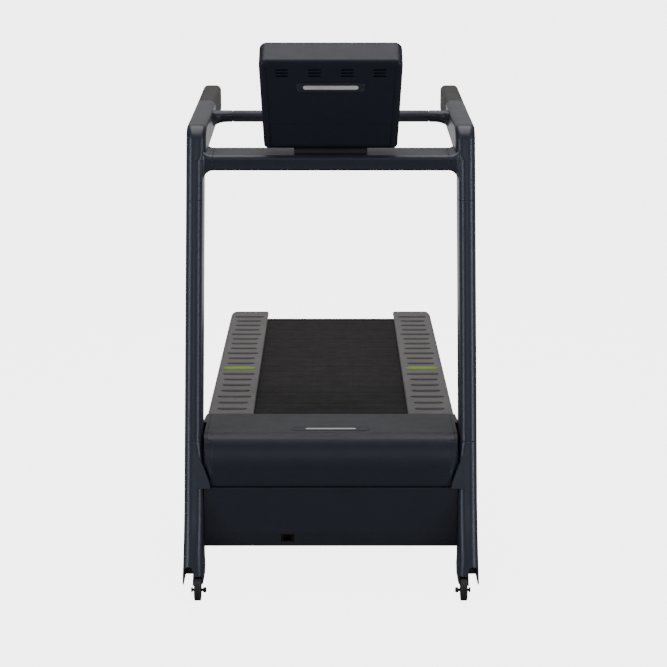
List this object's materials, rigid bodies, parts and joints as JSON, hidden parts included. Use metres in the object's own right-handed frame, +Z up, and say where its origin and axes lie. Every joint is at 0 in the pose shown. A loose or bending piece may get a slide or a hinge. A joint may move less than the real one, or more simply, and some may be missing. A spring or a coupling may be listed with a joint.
{
  "type": "self-powered treadmill",
  "caption": "Motorless gym treadmill: slatted belt on two drums with ridged foot rails, front hood, leaning blade uprights, handrails with grips and a tilted console.",
  "frame": {"origin": "on the floor, at the centre of the machine's length and width", "axes": "+Z up, -Y towards the front hood and transport wheels, +Y towards the rear where the user steps on, +X to the right seen from the front"},
  "size_m": [0.92, 2.13, 1.688],
  "materials": {
    "frame_paint": "satin navy-black paint",
    "cast_paint": "satin navy-black powder coat on aluminium",
    "moulded_dark": "fine-grained dark moulding",
    "cover_grey": "matt grey moulding",
    "belt_rubber": "ribbed slats, matt",
    "grip_rubber": "fine diamond texture",
    "marker_green": "matt coloured inlay",
    "black_plastic": "matt black",
    "black_steel": "black oxide",
    "steel": "machined",
    "stop_red": "satin",
    "key_grey": "satin",
    "board_green": "printed board",
    "screen_glass": "dark display window",
    "wheel_rubber": "moulded tyre"
  },
  "bodies": {
    "frame": {"belly_pan": "black_plastic", "console_access_cover": "moulded_dark", "console_back_cover": "moulded_dark", "console_bezel": "moulded_dark", "console_bracket": "black_steel", "control_board": "board_green", "crossbar": "cast_paint", "deck_frame": "black_steel", "display_screen": "screen_glass", "drive_belt": "belt_rubber", "front_cross_tube": "frame_paint", "front_left_bearing": "black_steel", "front_plate": "moulded_dark", "front_right_bearing": "black_steel", "generator": "black_steel", "grip_bar": "frame_paint", "hood": "moulded_dark", "left_grip": "grip_rubber", "left_handrail": "cast_paint", "left_hood_end_cap": "moulded_dark", "left_leg": "cast_paint", "left_lower_corner": "cast_paint", "left_marker_strip": "marker_green", "left_rear_leg": "frame_paint", "left_side_cover": "cover_grey", "left_side_frame": "frame_paint", "left_side_skirt": "moulded_dark", "left_upright": "cast_paint", "left_wheel_axle": "black_steel", "power_inlet": "black_plastic", "rear_cover": "moulded_dark", "rear_cross_tube": "frame_paint", "rear_left_bearing": "black_steel", "rear_right_bearing": "black_steel", "right_grip": "grip_rubber", "right_handrail": "cast_paint", "right_hood_end_cap": "moulded_dark", "right_leg": "cast_paint", "right_lower_corner": "cast_paint", "right_marker_strip": "marker_green", "right_rear_leg": "frame_paint", "right_side_cover": "cover_grey", "right_side_frame": "frame_paint", "right_side_skirt": "moulded_dark", "right_upright": "cast_paint", "right_wheel_axle": "black_steel", "slat_belt": "belt_rubber"},
    "front_drum": {"front_drum": "black_steel"},
    "rear_drum": {"rear_drum": "black_steel"},
    "generator_pulley": {"generator_pulley": "steel"},
    "stop_button": {"stop_button": "stop_red"},
    "start_button": {"start_button": "key_grey"},
    "level_up_key": {"level_up_key": "key_grey"},
    "level_down_key": {"level_down_key": "key_grey"},
    "safety_key": {"safety_key": "stop_red"},
    "left_transport_wheel": {"left_transport_wheel": "wheel_rubber"},
    "right_transport_wheel": {"right_transport_wheel": "wheel_rubber"},
    "left_rear_foot": {"left_rear_foot": "black_plastic"},
    "right_rear_foot": {"right_rear_foot": "black_plastic"}
  },
  "joints": [
    {"name": "front_drum_turn", "type": "hinge", "parent": "frame", "child": "front_drum", "pos_m": [0, -0.775, 0.389], "axis": [1, 0, 0], "continuous": true},
    {"name": "rear_drum_turn", "type": "hinge", "parent": "frame", "child": "rear_drum", "pos_m": [0, 0.955, 0.389], "axis": [1, 0, 0], "continuous": true},
    {"name": "generator_pulley_turn", "type": "hinge", "parent": "frame", "child": "generator_pulley", "pos_m": [0.362, -0.69, 0.195], "axis": [1, 0, 0], "continuous": true},
    {"name": "left_wheel_roll", "type": "hinge", "parent": "frame", "child": "left_transport_wheel", "pos_m": [-0.4115, -1.031, 0.034], "axis": [1, 0, 0], "continuous": true},
    {"name": "right_wheel_roll", "type": "hinge", "parent": "frame", "child": "right_transport_wheel", "pos_m": [0.4115, -1.031, 0.034], "axis": [1, 0, 0], "continuous": true},
    {"name": "left_foot_turn", "type": "hinge", "parent": "frame", "child": "left_rear_foot", "pos_m": [-0.32, 0.905, 0], "axis": [0, 0, 1], "range_deg": [-1080, 1080]},
    {"name": "right_foot_turn", "type": "hinge", "parent": "frame", "child": "right_rear_foot", "pos_m": [0.32, 0.905, 0], "axis": [0, 0, 1], "range_deg": [-1080, 1080]},
    {"name": "stop_button_press", "type": "slide", "parent": "frame", "child": "stop_button", "axis": [0, -0.8716, -0.4901], "range_m": [0, 0.0025], "stiffness_N_per_m": 400},
    {"name": "start_button_press", "type": "slide", "parent": "frame", "child": "start_button", "axis": [0, -0.8716, -0.4901], "range_m": [0, 0.0025], "stiffness_N_per_m": 400},
    {"name": "level_up_key_press", "type": "slide", "parent": "frame", "child": "level_up_key", "axis": [0, -0.8716, -0.4901], "range_m": [0, 0.0025], "stiffness_N_per_m": 400},
    {"name": "level_down_key_press", "type": "slide", "parent": "frame", "child": "level_down_key", "axis": [0, -0.8716, -0.4901], "range_m": [0, 0.0025], "stiffness_N_per_m": 400},
    {"name": "safety_key_pull", "type": "slide", "parent": "frame", "child": "safety_key", "axis": [0, 0.8716, 0.4901], "range_m": [0, 0.04]}
  ],
  "couplings": [
    {"joint": "rear_drum_turn", "follows": "front_drum_turn", "ratio": 1},
    {"joint": "generator_pulley_turn", "follows": "front_drum_turn", "ratio": 2.6522}
  ]
}
